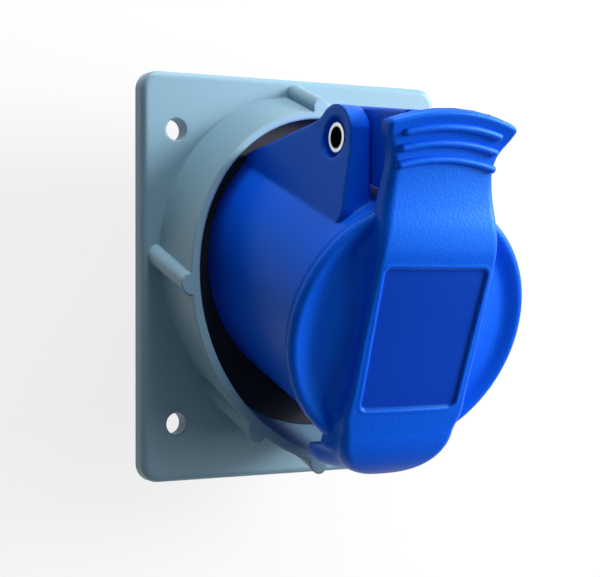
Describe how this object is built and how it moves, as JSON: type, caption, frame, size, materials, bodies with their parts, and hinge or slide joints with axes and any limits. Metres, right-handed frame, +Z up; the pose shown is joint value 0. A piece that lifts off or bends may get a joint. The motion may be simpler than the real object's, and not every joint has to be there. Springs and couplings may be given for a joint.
{
  "type": "industrial panel socket",
  "caption": "Angled panel-mounting industrial power socket: square grey flange, blue round housing and a spring-hinged lid with a thumb lever.",
  "frame": {"origin": "centre of the fixing holes on the flange's back face, where it meets the panel", "axes": "+Y into the panel, -Y out to the user, +Z up, +X to the user's right"},
  "size_m": [0.071, 0.0888, 0.0836],
  "materials": {
    "flange_plastic": "satin moulded light grey",
    "housing_plastic": "satin moulded blue",
    "lid_plastic": "satin moulded blue, fine grain on the band",
    "insert_plastic": "dark insulating plastic",
    "block_plastic": "pale insulating plastic",
    "seal_rubber": "black soft rubber",
    "contact_brass": "bare brass",
    "plated_steel": "zinc plated",
    "pin_steel": "bright nickel plated tube",
    "spring_steel": "drawn spring wire"
  },
  "bodies": {
    "base": {"mounting_flange": "flange_plastic", "panel_gasket": "seal_rubber", "socket_housing": "housing_plastic", "housing_seal": "seal_rubber", "contact_insert": "insert_plastic", "insert_rim": "insert_plastic", "insert_cap": "insert_plastic", "terminal_block": "block_plastic", "line_contact": "contact_brass", "neutral_contact": "contact_brass", "earth_contact": "contact_brass", "line_spring_ring": "spring_steel", "neutral_spring_ring": "spring_steel", "earth_spring_ring": "spring_steel", "line_clamp_plate": "plated_steel", "neutral_clamp_plate": "plated_steel", "earth_clamp_plate": "plated_steel", "terminal_screws": "plated_steel", "insert_screws": "plated_steel", "housing_screws": "plated_steel", "hinge_pin": "pin_steel", "hinge_spring": "spring_steel"},
    "lid": {"lid": "lid_plastic", "lid_gasket": "seal_rubber"}
  },
  "joints": [
    {"name": "lid_hinge", "type": "hinge", "parent": "base", "child": "lid", "pos_m": [0, -0.04292, 0.02594], "axis": [-1, 0, 0], "range_deg": [0, 110], "stiffness_Nm_per_rad": 0.05, "springref_deg": -34.38, "deforming": ["hinge_spring"]}
  ]
}
